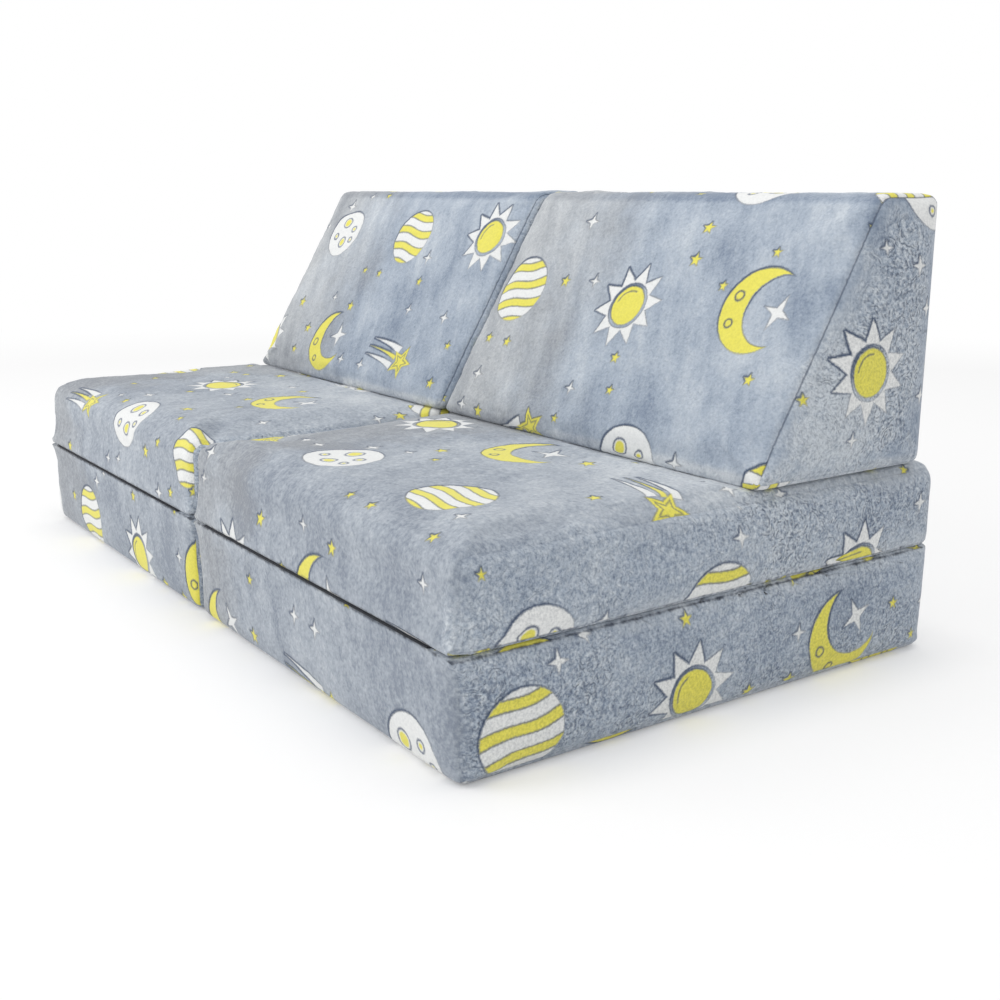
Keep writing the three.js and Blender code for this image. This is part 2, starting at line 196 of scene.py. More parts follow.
# %% The plain form of a block: its front at y = 0, its foot at z = 0
def plain_form(name, block):
    width, depth, height = block["width"], block["depth"], block["height"]
    form = box_piece(name, (-width / 2, 0, 0), (width / 2, depth, height))
    edit(form)
    if block["lean"]:
        choose("VERT", lambda corners: corners[0].z > height / 2 and corners[0].y < depth / 2)
        bpy.ops.transform.translate(value=(0, block["lean"], 0))
    choose("EDGE", lambda corners: abs(corners[0].z - corners[1].z) > height / 2)
    bpy.ops.mesh.bevel(offset=block["corner"], segments=5, affect="EDGES")
    choose("EDGE", lambda corners: min(corner.z for corner in corners) > height - 1e-5)
    bpy.ops.mesh.bevel(offset=block["top_edge"], segments=5, affect="EDGES")
    choose("EDGE", lambda corners: max(corner.z for corner in corners) < 1e-5)
    bpy.ops.mesh.bevel(offset=block["foot_edge"], segments=4, affect="EDGES")
    finish_with(form, "REMESH", mode="VOXEL", voxel_size=GRID)
    return form


# %% [markdown]
# The cloth of a cover is one strip that starts at the zip, runs under the foot, up the front, over the top and down
# the back to the zip again, sewn to a panel at each end. The print and the nap follow the cloth, so each vertex
# remembers where it lies on it: `strip` holds how far across and along the strip it is and how far past the nearest
# seam. `flank` holds its place on the end panel, and `crease` how far above and how far inside the line where two
# blocks meet it is. The plain form's own places are remembered first, because distances are exact there, and the
# later modifiers carry them along.

# %% The outline that the strip follows, as a rounded polygon in Y and Z
def outline_of(block):
    depth, height, lean = block["depth"], block["height"], block["lean"]
    foot, top = block["foot_edge"], block["top_edge"]
    corners = [((0, 0), foot), ((lean, height), top), ((depth, height), top), ((depth, 0), foot)]
    points = []
    for k, (corner, cut) in enumerate(corners):
        corner = np.array(corner, float)
        before = np.array(corners[k - 1][0], float) - corner
        after = np.array(corners[(k + 1) % 4][0], float) - corner
        start = corner + cut * before / np.linalg.norm(before)
        end = corner + cut * after / np.linalg.norm(after)
        for share in np.linspace(0, 1, 7):
            points.append((1 - share) ** 2 * start + 2 * share * (1 - share) * corner + share ** 2 * end)
    clockwise = [(depth, block["zip"]), *points[-7:], *points[:-7]]
    return np.array(clockwise)


def along_outline(points, outline):
    """How far round the outline each point lies, and how deep inside it."""
    runs = np.roll(outline, -1, axis=0) - outline
    lengths = np.linalg.norm(runs, axis=1)
    share = np.clip(((points[:, None] - outline) * runs).sum(2) / lengths ** 2, 0, 1)
    gaps = np.linalg.norm(points[:, None] - outline - share[..., None] * runs, axis=2)
    nearest = gaps.argmin(1)
    rows = np.arange(len(points))
    before = np.concatenate([[0], np.cumsum(lengths)[:-1]])
    return before[nearest] + share[rows, nearest] * lengths[nearest], gaps[rows, nearest]


# %% Writing the cloth's own coordinates onto the form
def remember(piece, name, values):
    attribute = piece.data.attributes.new(name, "FLOAT_VECTOR", "POINT")
    attribute.data.foreach_set("vector", values.ravel())


def recall(piece, name):
    return vectors(piece.data.attributes[name].data, "vector")


def inside_plan(where, block):
    """How far each point lies inside the block's outline seen from above."""
    radius = block["corner"]
    beyond_x = np.abs(where[:, 0]) - block["width"] / 2 + radius
    beyond_y = np.abs(where[:, 1] - block["depth"] / 2) - block["depth"] / 2 + radius
    out = np.hypot(np.maximum(beyond_x, 0), np.maximum(beyond_y, 0))
    return radius - out - np.minimum(np.maximum(beyond_x, beyond_y), 0)


HALF_TURN_OF_SEAM = math.pi / 4
REAR_SKIN = 0.003


def lay_cloth(piece, block):
    """Writes strip, flank and crease from the places in the plain form."""
    where = recall(piece, "rest")
    piece.data.attributes.remove(piece.data.attributes["rest"])
    radius = block["top_edge"]
    along, depth_in = along_outline(where[:, 1:], outline_of(block))
    reach = np.abs(where[:, 0])
    flat = block["width"] / 2 - radius
    turn = np.arctan2(np.maximum(reach - flat, 0), np.maximum(radius - depth_in, 1e-9))
    across = np.sign(where[:, 0]) * np.where(reach > flat, flat + radius * turn, reach)
    past = radius * (turn - HALF_TURN_OF_SEAM)
    past = np.where(reach < flat, reach - flat - radius * HALF_TURN_OF_SEAM, past)
    past = np.where(depth_in > radius, radius * HALF_TURN_OF_SEAM + depth_in - radius, past)
    by_zip = (where[:, 1] > block["depth"] - REAR_SKIN) & (past < 0)
    past = np.where(by_zip, -np.minimum(np.abs(past), np.abs(where[:, 2] - block["zip"])), past)
    none = np.zeros(len(where))
    remember(piece, "strip", np.column_stack([across, along, past]))
    remember(piece, "flank", np.column_stack([where[:, 1], where[:, 2], none]))
    remember(piece, "crease", np.column_stack([where[:, 2] - block["fold"], inside_plan(where, block), none]))


# %% Stuffing by cloth simulation, with the moves capped
PRESSURE = 4
FRAMES = 20
HELD_DEPTH = 0.004
WEDGE_REACH = 0.008
LEAST_CAP = 0.001


def hold(piece, name, weights):
    """A vertex group with these weights."""
    group = piece.vertex_groups.new(name=name)
    for level in np.unique(weights):
        group.add(np.flatnonzero(weights == level).tolist(), float(level), "REPLACE")


def held_share(where, block, kind):
    """1 where the block rests on something or its zip sits, 0 on its free faces."""
    share = (where[:, 2] < HELD_DEPTH) | (where[:, 1] > block["depth"] - HELD_DEPTH)
    share |= where[:, 0] < HELD_DEPTH - block["width"] / 2
    top = where[:, 2] > block["height"] - HELD_DEPTH
    if kind == "lower":
        share |= top
    if kind == "upper":
        wedge_front = BLOCKS["back"]["front"] - block["front"]
        share |= top & (where[:, 1] > wedge_front - WEDGE_REACH)
    return share.astype(float)


def stuff(piece, block, kind):
    """Pressure inside swells the free faces, and no point moves further than its cap."""
    rest = places(piece)
    facing = normals(piece)
    hold(piece, "held", held_share(rest, block, kind))
    take(piece)
    modifier = piece.modifiers.new("Stuffing", "CLOTH")
    modifier.settings.use_pressure = True
    modifier.settings.uniform_pressure_force = PRESSURE
    modifier.settings.effector_weights.gravity = 0
    modifier.settings.vertex_group_mass = "held"
    modifier.point_cache.frame_start = 1
    modifier.point_cache.frame_end = FRAMES
    for step in range(1, FRAMES + 1):
        bpy.context.scene.frame_set(step)
    bpy.ops.object.modifier_apply(modifier=modifier.name)
    bpy.context.scene.frame_set(1)
    moves = places(piece) - rest
    size = np.linalg.norm(moves, axis=1)
    top = np.clip(facing[:, 2], 0, 1)
    cap = block["front_cap"] * (1 - top) + max(block["crown"], LEAST_CAP) * top
    print(kind, "swelled by up to", round(1000 * size.max(), 1), "mm before the cap")
    moves *= (np.minimum(size, cap) / np.maximum(size, 1e-9))[:, None]
    set_places(piece, rest + moves)


# %% [markdown]
# Foam under plush is never quite even. After the stuffing the mesh is refined once, and two soft noises push the
# cloth in and out by about a millimetre: a wide one for the foam and a narrow one for the nap. The seam between the
# strip and the end panels is then drawn in as a shallow groove with a soft lip at each side. Where two blocks meet,
# the plush is filled out and its front swells over the hinge, so that only a thin dark line is left. The front stays
# behind the hinge line, because the two fronts face each other when a seat is open. At the zip the cloth sinks a
# little, and under a lower block it ends just above the face of the base panel.

# %% Uneven foam and nap
def lumps(name, size, detail):
    texture = bpy.data.textures.new(name, "CLOUDS")
    texture.noise_scale = size
    texture.noise_depth = detail
    return texture


FOAM_LUMPS = lumps("foam lumps", 0.07, 1)
NAP_LUMPS = lumps("nap lumps", 0.014, 2)
FOAM_SWING, NAP_SWING = 0.0035, 0.0015

# %% Seams, the zip's place, the crease and the foot
FADE_START, FOOT_FADE, REAR_FADE = 0.002, 0.010, 0.020
ZIP_SUNK, ZIP_SHOULDER, ZIP_ZONE = 0.0026, 0.004, 0.012
GROOVE_DEPTH, GROOVE_WIDTH = 0.0016, 0.0035
RIDGE, RIDGE_AWAY, RIDGE_WIDTH = 0.0007, 0.009, 0.004
LIP, LIP_WIDTH, BROW_WIDTH = 0.0026, 0.0065, 0.022
DRAW_WIDTH, DRAW_SLOPE, DRAW_SHORT = 0.010, 1.6, 0.0003
HINGE_ROOM = 0.0043
PANEL_PROUD = 0.0012


def hump(away, width):
    """1 at no distance, falling off smoothly over the width."""
    return np.exp(-(away / width) ** 2)


def soften(piece, block):
    """Refines the stuffed form and gives it lumps, seams and the lips of the crease."""
    finish_with(piece, "SUBSURF", levels=1, render_levels=1)
    lay_cloth(piece, block)
    where = places(piece)
    strip = recall(piece, "strip")
    free = np.clip((where[:, 2] - FADE_START) / FOOT_FADE, 0, 1)
    free *= np.clip((block["depth"] - FADE_START - where[:, 1]) / REAR_FADE, 0, 1)
    hold(piece, "free", np.round(free, 1))
    for texture, swing in ((FOAM_LUMPS, FOAM_SWING), (NAP_LUMPS, NAP_SWING)):
        finish_with(piece, "DISPLACE", texture=texture, strength=swing, mid_level=0.5, vertex_group="free")
    beside = np.clip((ZIP_HALF_HEIGHT + ZIP_SHOULDER - np.abs(where[:, 2] - block["zip"])) / ZIP_SHOULDER, 0, 1)
    beside *= np.clip((ZIP_LENGTH / 2 + ZIP_SHOULDER - np.abs(where[:, 0])) / ZIP_SHOULDER, 0, 1)
    sunk = np.where(where[:, 1] > block["depth"] - ZIP_ZONE, ZIP_SUNK * beside, 0)
    past = np.abs(strip[:, 2])
    groove = RIDGE * hump(past - RIDGE_AWAY, RIDGE_WIDTH) - GROOVE_DEPTH * hump(past, GROOVE_WIDTH)
    fold = np.linalg.norm(recall(piece, "crease"), axis=1)
    lip = LIP * hump(fold, LIP_WIDTH)
    facing = normals(piece)
    moved = places(piece) + facing * (groove * free + lip)[:, None]
    if block["brow"]:
        moved[:, 1] -= block["brow"] * hump(fold, BROW_WIDTH) * np.clip(-facing[:, 1], 0, 1)
        proud = moved[:, 1] < 0
        moved[proud, 1] = HINGE_ROOM * np.tanh(moved[proud, 1] / HINGE_ROOM)
        drawn = hump(fold, DRAW_WIDTH) * np.clip(-DRAW_SLOPE * facing[:, 1], 0, 1)
        moved[:, 1] -= drawn * (moved[:, 1] + HINGE_ROOM - DRAW_SHORT)
    on_floor = not block["crown"]
    moved[:, 2] = np.maximum(moved[:, 2], PANEL_PROUD if on_floor else 0)
    if on_floor:
        moved[:, 2] = np.minimum(moved[:, 2], block["height"])
    moved[:, 1] = np.minimum(moved[:, 1], block["depth"]) - sunk
    set_places(piece, moved)
    piece.vertex_groups.clear()


# %% Making each form once, then a copy for each seat
SIDES = (("left", -1), ("right", 1))
FLANK_SHIFT = (0.37, 0.29)
PRINT_SHIFTS = {
    ("lower", "right"): (0.31, 0.55), ("lower", "left"): (0.86, 0.13),
    ("upper", "right"): (0.07, 0.21), ("upper", "left"): (1.02, 0.68),
    ("back", "right"): (0.44, 0.09), ("back", "left"): (0.19, 0.41),
}


def body_of(kind, side):
    """The body of the frame that carries a block and its zip."""
    return "base" if kind == "lower" else f"{'seat' if kind == 'upper' else 'wedge'}_{side}"


def cushion_for(kind, side, sign, form, block):
    """A copy of the form at its seat, turned inside out and back where it is mirrored."""
    piece = form.copy()
    piece.data = form.data.copy()
    piece.name = f"{kind}_{side}_cushion"
    bpy.context.scene.collection.objects.link(piece)
    where = places(piece) * (sign, 1, 1)
    where += (sign * SEAT_CENTRE, block["front"], block["foot"])
    set_places(piece, where)
    if sign < 0:
        edit(piece)
        bpy.ops.mesh.select_all(action="SELECT")
        bpy.ops.mesh.flip_normals()
        start_fresh()
    shift = np.array(PRINT_SHIFTS[kind, side])
    for name, mirror, extra in (("strip", sign, (0, 0)), ("flank", 1, FLANK_SHIFT)):
        values = recall(piece, name)
        values[:, 0] *= mirror
        values[:, :2] += shift + extra
        piece.data.attributes[name].data.foreach_set("vector", values.ravel())
    smooth(piece)
    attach(piece, body_of(kind, side))
    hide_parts(f"{kind}_{side}_cover", f"{kind}_{side}_core")
    return piece


cushions = []
for kind, block in BLOCKS.items():
    form = plain_form(f"{kind}_form", block)
    remember(form, "rest", places(form))
    stuff(form, block, kind)
    soften(form, block)
    cushions += [cushion_for(kind, side, sign, form, block) for side, sign in SIDES]
    print(kind, "cushion:", len(form.data.polygons), "faces")
    bpy.data.objects.remove(form)

# %% [markdown]
# ## Shader helpers
# A finish is a recipe of small sums on positions and noises. Written as nodes it would be hard to read, so one
# small class wraps a node's output: sums on it add Math nodes, and any other node comes from one method.

# %% The wrapped socket
class Wire:
    """A node's output. Arithmetic on it adds Math nodes to the material being made."""

    tree = None

    def __init__(self, socket):
        self.socket = socket

    @classmethod
    def node(cls, kind, settings=None, sockets=None, out=0):
        made = cls.tree.nodes.new("ShaderNode" + kind)
        for key, value in (settings or {}).items():
            if key == "stops":
                while len(made.color_ramp.elements) < len(value):
                    made.color_ramp.elements.new(0.5)
                for stop, (position, colour) in zip(made.color_ramp.elements, value):
                    stop.position, stop.color = position, colour
            else:
                setattr(made, key, value)
        for key, value in (sockets or {}).items():
            if isinstance(value, Wire):
                cls.tree.links.new(value.socket, made.inputs[key])
            else:
                made.inputs[key].default_value = value
        return cls(made.outputs[out])

    @classmethod
    def math(cls, operation, *values, clamp=False):
        settings = {"operation": operation, "use_clamp": clamp}
        return cls.node("Math", settings, dict(enumerate(values)))

    def __add__(self, other):
        return Wire.math("ADD", self, other)

    def __sub__(self, other):
        return Wire.math("SUBTRACT", self, other)

    def __rsub__(self, other):
        return Wire.math("SUBTRACT", other, self)

    def __mul__(self, other):
        return Wire.math("MULTIPLY", self, other)

    def __truediv__(self, other):
        return Wire.math("DIVIDE", self, other)

    __radd__ = __add__


# %% Small sums used by several finishes
def smaller(one, *others):
    for other in others:
        one = Wire.math("MINIMUM", one, other)
    return one


def larger(one, *others):
    for other in others:
        one = Wire.math("MAXIMUM", one, other)
    return one


def size_of(value):
    return Wire.math("ABSOLUTE", value)


def distance(x, y):
    return Wire.math("SQRT", x * x + y * y)


def ramp(value, low, high):
    """0 below low, 1 above high and smooth between."""
    sockets = {"Value": value, "From Min": low, "From Max": high}
    return Wire.node("MapRange", {"interpolation_type": "SMOOTHSTEP"}, sockets)


def noise(vector, scale, detail=2.0, roughness=0.5, out=0):
    sockets = {"Vector": vector, "Scale": scale, "Detail": detail, "Roughness": roughness}
    return Wire.node("TexNoise", {"noise_dimensions": "3D"}, sockets, out)


def parts(vector):
    """X, Y and Z of a vector."""
    split = Wire.node("SeparateXYZ", None, {0: vector})
    return [Wire(split.socket.node.outputs[axis]) for axis in range(3)]


def join(x, y, z=0.0):
    return Wire.node("CombineXYZ", None, {0: x, 1: y, 2: z})


def own(name):
    """A piece's own attribute."""
    return Wire.node("Attribute", {"attribute_name": name}, None, "Vector")


def own_place():
    """Where a point lies on its object, in metres."""
    return Wire.node("TexCoord", None, None, "Object")


def colour(red, green, blue):
    """An sRGB colour of 0 to 255 as the linear one that shaders use."""
    shares = [value / 255 for value in (red, green, blue)]
    return (*[s / 12.92 if s <= 0.04045 else ((s + 0.055) / 1.055) ** 2.4 for s in shares], 1.0)


def tint(mask, under, over):
    """The colour `over` where the mask is 1, else `under`."""
    return Wire.node("Mix", {"data_type": "RGBA"}, {0: mask, 6: under, 7: over}, 2)


def new_finish(name):
    """An empty material with its shader, ready for sums."""
    material = bpy.data.materials.new(name)
    material.use_nodes = True
    Wire.tree = material.node_tree
    return material, material.node_tree.nodes["Principled BSDF"]


def feed(shader, **sockets):
    """Links or sets the shader's sockets, named with _ for a space."""
    for key, value in sockets.items():
        socket = shader.inputs[key.replace("_", " ")]
        if isinstance(value, Wire):
            Wire.tree.links.new(value.socket, socket)
        else:
            socket.default_value = value


def bumped(height):
    """A normal from a height in metres."""
    return Wire.node("Bump", None, {"Strength": 1.0, "Distance": 1.0, "Height": height})


# %% [markdown]
# ## The print
# The plush carries a space print in white and yellow with slate lines. Each motif is drawn by distances: a sum
# gives how far a point lies outside a shape, and ink goes where that is below nothing. Five motifs take turns on a
# staggered lattice, and the space between them has small stars. All are plain shapes made for this sofa: a
# crescent, a shooting star, a full moon with craters, a banded planet and a sun.

# %% Shapes as distances
SOFT = 0.0011


def ink(gap):
    """1 inside a shape, 0 outside, with a soft edge."""
    return Wire.math("MULTIPLY_ADD", gap, -0.5 / SOFT, 0.5, clamp=True)


def disc(x, y, centre_x, centre_y, radius):
    return distance(x - centre_x, y - centre_y) - radius


def star(x, y, points, tip, notch):
    """A star with one tip upwards, made by folding the plane onto one side of one ray."""
    half = math.pi / points
    fold = Wire.math("PINGPONG", Wire.math("ARCTAN2", x, y), half)
    reach = distance(x, y)
    out = reach * Wire.math("COSINE", fold)
    side = reach * Wire.math("SINE", fold)
    slope = Vector((notch * math.sin(half), tip - notch * math.cos(half))).normalized()
    return larger((out - tip) * slope.x + side * slope.y, out - tip)


# %% The five motifs: distances to their yellow, their white and their dark lines
LINE = 0.0012


def crescent(x, y):
    yellow = larger(disc(x, y, 0, 0, 0.052), 0 - disc(x, y, 0.023, 0.009, 0.043))
    white = star(x - 0.027, y - 0.008, 4, 0.022, 0.007)
    pits = smaller(disc(x, y, -0.037, 0.004, 0.006), disc(x, y, -0.027, -0.028, 0.005))
    return yellow, white, size_of(pits) - LINE


def shooting_star(x, y):
    head = star(x - 0.036, y, 5, 0.028, 0.012)
    fade = Wire.math("SUBTRACT", x, -0.066) * 0.075
    ends = larger(x - 0.018, -0.066 - x)
    bow = y + (x - 0.036) * (x - 0.036) * 1.3
    trail = [larger(size_of(bow - lift) - fade, ends) for lift in (-0.014, 0.014)]
    middle = larger(size_of(bow) - fade * 0.6, ends)
    return smaller(head, middle), smaller(*trail), size_of(head + 0.0045) - LINE * 0.5


def full_moon(x, y):
    face = disc(x, y, 0, 0, 0.046)
    pits = [(-0.016, 0.013, 0.011), (0.016, 0.019, 0.0065), (0.013, -0.015, 0.0095), (-0.017, -0.021, 0.0055),
            (0.031, 0.002, 0.005)]
    crater = smaller(*[disc(x, y, *pit) for pit in pits])
    return crater + 0.003, face, size_of(crater) - LINE


def banded_planet(x, y):
    face = disc(x, y, 0, 0, 0.047)
    sway = Wire.math("SINE", x * 75) * 0.0028
    bands = Wire.math("SINE", (y + sway + x * 0.3) * 215) - 0.15
    yellow = larger(face, 0 - bands * 0.0045)
    return yellow, face, larger(size_of(bands) * 0.0045 - LINE * 0.7, face)


def sun(x, y):
    core = disc(x, y, 0, 0, 0.026)
    rays = larger(star(x, y, 10, 0.056, 0.034), 0 - disc(x, y, 0, 0, 0.0305))
    gleam = larger(size_of(disc(x, y, 0, 0, 0.0195)) - LINE * 0.7, 0.017 - y + x * 0.8)
    return core, rays, gleam


MOTIFS = (crescent, shooting_star, full_moon, banded_planet, sun)

# %% The lattice: where a point lies in its cell, and which motif the cell holds
CELL_WIDE = 0.215
CELL_HIGH = 0.195
LEAN_MOST = 1.1
DRIFT = 0.022
BIG_SHADOW, SMALL_SHADOW = 0.0021, 0.0016


def shadow_line(outer, x, y, width):
    """The slate line on the upper left side of a shape, as if it stood out of the cloth."""
    towards = (y - x) / (distance(x, y) + 0.001) * 0.71
    reach = (towards * 1.1 + 0.35) * width
    return ink(outer - larger(reach, 0.0)) * (1 - ink(outer))


def big_motifs(u, v, row, cells):
    """Masks of yellow, white and dark for the motif of the point's own cell."""
    kind = Wire.math("FLOORED_MODULO", cells + row * 2, len(MOTIFS))
    chance = Wire.node("TexWhiteNoise", {"noise_dimensions": "2D"}, {"Vector": join(cells, row)}, "Color")
    drift_x, drift_y, lean = parts(chance)
    x = u + (drift_x - 0.5) * DRIFT
    y = v + (drift_y - 0.5) * DRIFT
    turn = (lean - 0.5) * LEAN_MOST
    cosine, sine = Wire.math("COSINE", turn), Wire.math("SINE", turn)
    turned_x = x * cosine + y * sine
    turned_y = y * cosine - x * sine
    sums = None
    for index, motif in enumerate(MOTIFS):
        chosen = Wire.math("COMPARE", kind, float(index), 0.1)
        yellow, white, dark = motif(turned_x, turned_y)
        outer = smaller(yellow, white)
        terms = [ink(yellow) * chosen, ink(white) * chosen, ink(larger(dark, outer)) * chosen, outer * chosen]
        sums = terms if sums is None else [old + new for old, new in zip(sums, terms)]
    yellow, white, dark, outer = sums
    return yellow, white, larger(dark, shadow_line(outer, x, y, BIG_SHADOW))


# %% Small stars in the ring of each cell round its motif
STAR_LEAST, STAR_MORE = 0.0064, 0.0040
STAR_DRIFT = (0.030, 0.024)
FIVE_BELOW, FOUR_ABOVE = 0.16, 0.84


def small_stars(across, high):
    """Masks for the small stars, on a lattice four times as fine with the middle of each big cell left free."""
    column, line = Wire.math("FLOOR", across * 4), Wire.math("FLOOR", high * 4)
    in_cell = [Wire.math("FLOORED_MODULO", index, 4) - 1.5 for index in (column, line)]
    free = Wire.math("GREATER_THAN", larger(*[size_of(index) for index in in_cell]), 1.0)
    chance = Wire.node("TexWhiteNoise", {"noise_dimensions": "3D"}, {"Vector": join(column, line, 3.0)}, "Color")
    red, green, blue = parts(chance)
    grow = STAR_LEAST + blue * STAR_MORE
    x = (across * 4 - column - 0.5) * (CELL_WIDE / 4) + (green - 0.5) * STAR_DRIFT[0]
    y = (high * 4 - line - 0.5) * (CELL_HIGH / 4) + (blue - 0.5) * STAR_DRIFT[1]
    five = star(x / grow, y / grow, 5, 1.0, 0.46) * grow
    four = star(x / grow, y / grow, 4, 1.2, 0.42) * grow
    is_five = Wire.math("LESS_THAN", red, FIVE_BELOW) * free
    is_four = Wire.math("GREATER_THAN", red, FOUR_ABOVE) * free
    yellow, white = ink(five) * is_five, ink(four) * is_four
    lines = shadow_line(five, x, y, SMALL_SHADOW) * is_five + shadow_line(four, x, y, SMALL_SHADOW) * is_four
    return yellow, white, lines


FUZZ, FUZZ_PER_M = 0.0030, 480


def printed(cloth):
    """Masks of the whole print on the cloth: yellow, white and dark."""
    fuzz = noise(cloth, FUZZ_PER_M, 2.0, 0.6, out=1)
    fuzz_x, fuzz_y, _ = parts(fuzz)
    u, v, _ = parts(cloth)
    across = (u + (fuzz_x - 0.5) * FUZZ) / CELL_WIDE
    high = (v + (fuzz_y - 0.5) * FUZZ) / CELL_HIGH
    row = Wire.math("FLOOR", high)
    across = across + row * 0.5
    cells = Wire.math("FLOOR", across)
    big = big_motifs((across - cells - 0.5) * CELL_WIDE, (high - row - 0.5) * CELL_HIGH, row, cells)
    small = small_stars(across, high)
    return [larger(one, other) for one, other in zip(big, small)]


# %% [markdown]
# ## The plush
# Short polyester plush is combed on the front and the top: long soft streaks run up the cloth, with paler patches
# where the nap stands up. On the end panels it is crushed into small curved creases, and the gaps between them are
# darkened as painted shade. The print is rolled flat, so the nap is low there and the ink fuzzy at its edge.

# %% Plush with its print
SLATE_DEEP = colour(126, 140, 160)
SLATE = colour(168, 179, 193)
SLATE_PALE = colour(204, 211, 218)
WARM_DEEP = colour(147, 150, 155)
WARM = colour(175, 178, 181)
WARM_PALE = colour(208, 210, 211)
WHITE_INK = colour(232, 233, 232)
YELLOW_INK = colour(231, 222, 95)
# The slate of the print's lines and seams, also used as painted shade in the creases of the crushed nap
SLATE_LINE_AND_SHADE = colour(66, 82, 108)
# The tone of the painted shade in the crease where two blocks meet
CREASE_SHADE_TONE = colour(38, 44, 58)
NAP_SHADOW = colour(120, 128, 140)

# %% Where a point lies: on a wedge or a seat, on the strip or on an end panel
WEDGE_FOOT = (0.232, 0.240)
LOWER_TOP = (0.119, 0.129)
SEAM_BLEND = 0.020

plush, shader = new_finish("printed plush")
here = own_place()
x, y, z = parts(here)
strip, flank = own("strip"), own("flank")
past_seam = parts(strip)[2]
patches = noise(here, 7.0, 4.0, 0.6)
on_wedge = ramp(z, *WEDGE_FOOT)
flank_share = ramp(past_seam - on_wedge * 0.012 + (patches - 0.5) * 0.10, -SEAM_BLEND, SEAM_BLEND)
even = 1 - flank_share
on_seat = even * (1 - on_wedge)
rear = ramp(y, -0.25, 0.08)
low = 1 - ramp(z, *LOWER_TOP)
from_left = x - Wire.math("SIGN", x) * SEAT_CENTRE
on_flank = Wire.math("GREATER_THAN", past_seam, 0.0)
cloth = Wire.node("Mix", {"data_type": "VECTOR"}, {0: on_flank, 4: strip, 5: flank}, 1)
yellow, white, dark = printed(cloth)

# %% The nap: streaks along the strip, lumps of fibre at three sizes, and creases where it is crushed
NAP_PER_M, WOOLLY_PER_M, COARSE_PER_M = 330, 210, 120
CREASES_PER_M, BREAKS_PER_M = (38, 130), 190

u, v, _ = parts(strip)
streaks = noise(join(u * 26 + v * 9, v * 6), 1.0, 5.0, 0.68)
nap = noise(here, NAP_PER_M, 3.0, 0.7)
coarse = noise(here, COARSE_PER_M, 2.0, 0.6)
woolly = noise(here, WOOLLY_PER_M, 1.0)
turns = noise(here, CREASES_PER_M[0], 0.0) * 9 + noise(here, CREASES_PER_M[1], 1.0) * 2.4
folds = Wire.math("SINE", turns * (2 * math.pi)) * 0.5 + 0.5
breaks = ramp(noise(here, BREAKS_PER_M, 2.0, 0.6), 0.36, 0.64)
crumpled = ramp(noise(here, 9.0, 2.0), 0.36, 0.62) * 0.65 + 0.35
crushed = ramp(folds, 0.30, 0.95) * breaks * crumpled * (flank_share * 0.85 + 0.10)

# %% The shade, from 0 for the deepest tone to 1 for the palest
CREASE_HIGHLIGHT_REACH = (0.006, 0.022)
TOP_EDGE_SHADE_SPAN = ((0.503, 0.511), (0.5155, 0.5175))

warmth = (1 - ramp(from_left + (patches - 0.5) * 0.5, -0.26, 0.02)) * 0.85
# A share from 0 at the left of each seat to 1 at its right, for the painted sheen below
sheen_across = ramp(from_left + (patches - 0.5) * 0.3, -0.20, 0.16)
crease_gap = distance(*parts(own("crease"))[:2])
# Painted highlight: the plush paler in fuzzy patches along the lips where two blocks meet, as if their nap caught the
# light
crease_highlight = (1 - ramp(crease_gap + (woolly - 0.5) * 0.016, *CREASE_HIGHLIGHT_REACH)) * ramp(noise(here, 34, 3.0), 0.40, 0.62)
# Painted shade: a darker band along the rounded top edge of each wedge, where the face turns over
top_edge_shade = ramp(z, *TOP_EDGE_SHADE_SPAN[0]) * (1 - ramp(z, *TOP_EDGE_SHADE_SPAN[1])) * even

shade = (patches - 0.5) * (on_wedge * 0.4 + 1.0) + (streaks - 0.5) * (on_wedge * 0.25 + 0.80) * even
shade = shade + (nap - 0.5) * (flank_share * crumpled * 1.3 + 0.35)
shade = shade + (coarse - 0.5) * (flank_share * 0.6 + on_seat * 0.30 + 0.25)
shade = shade + (woolly - 0.5) * (flank_share * crumpled * 0.8 + on_seat * 0.35 + 0.25)
shade = shade + 0.47 + flank_share * (on_wedge * 0.20 + 0.13) + even * on_wedge * warmth * 0.14
# Painted sheen: the seat tops paler towards the back and the right of each seat, as plush looks at a grazing view.
# The tops and fronts are also a step darker, more so towards the front at the left of each seat
shade = shade + on_seat * (rear * (sheen_across * 0.36 + 0.02) - 0.10 - (1 - rear) * warmth * 0.15)
shade = shade - flank_share * low * 0.08
shade = shade + crease_highlight * (on_wedge * 0.22 + 0.16)
shade = shade - top_edge_shade * 0.30

# %% The colour: ground, ink, seam, and painted shade in the crease
CREASE_SHADE_REACH = (0.0034, 0.0056)
SEAM_LINE = (0.0003, 0.0016)
STOPS = (0.12, 0.5, 0.95)

cool, warm = [Wire.node("ValToRGB", {"stops": list(zip(STOPS, tones))}, {0: shade})
              for tones in ((SLATE_DEEP, SLATE, SLATE_PALE), (WARM_DEEP, WARM, WARM_PALE))]
ground = tint(larger(warmth, on_seat * 0.42), cool, warm)
# Painted shade: the creases of the crushed nap on the end panels darkened with the slate
ground = tint(crushed * 0.62, ground, SLATE_LINE_AND_SHADE)
seam_line = (1 - ramp(size_of(past_seam), *SEAM_LINE)) * (on_wedge * 0.8 + 0.2)
# Painted shade: the plush darkened almost to black within a few millimetres of the line where two blocks meet, as the
# crease is in shadow
crease_shade = 1 - ramp(crease_gap + (coarse - 0.5) * 0.0032, *CREASE_SHADE_REACH)
inked = ground
for share, tone in ((white, WHITE_INK), (yellow, YELLOW_INK), (dark * 0.92, SLATE_LINE_AND_SHADE), (seam_line * 0.55, SLATE_LINE_AND_SHADE),
                    (crease_shade * 0.92, CREASE_SHADE_TONE)):
    inked = tint(share, inked, tone)
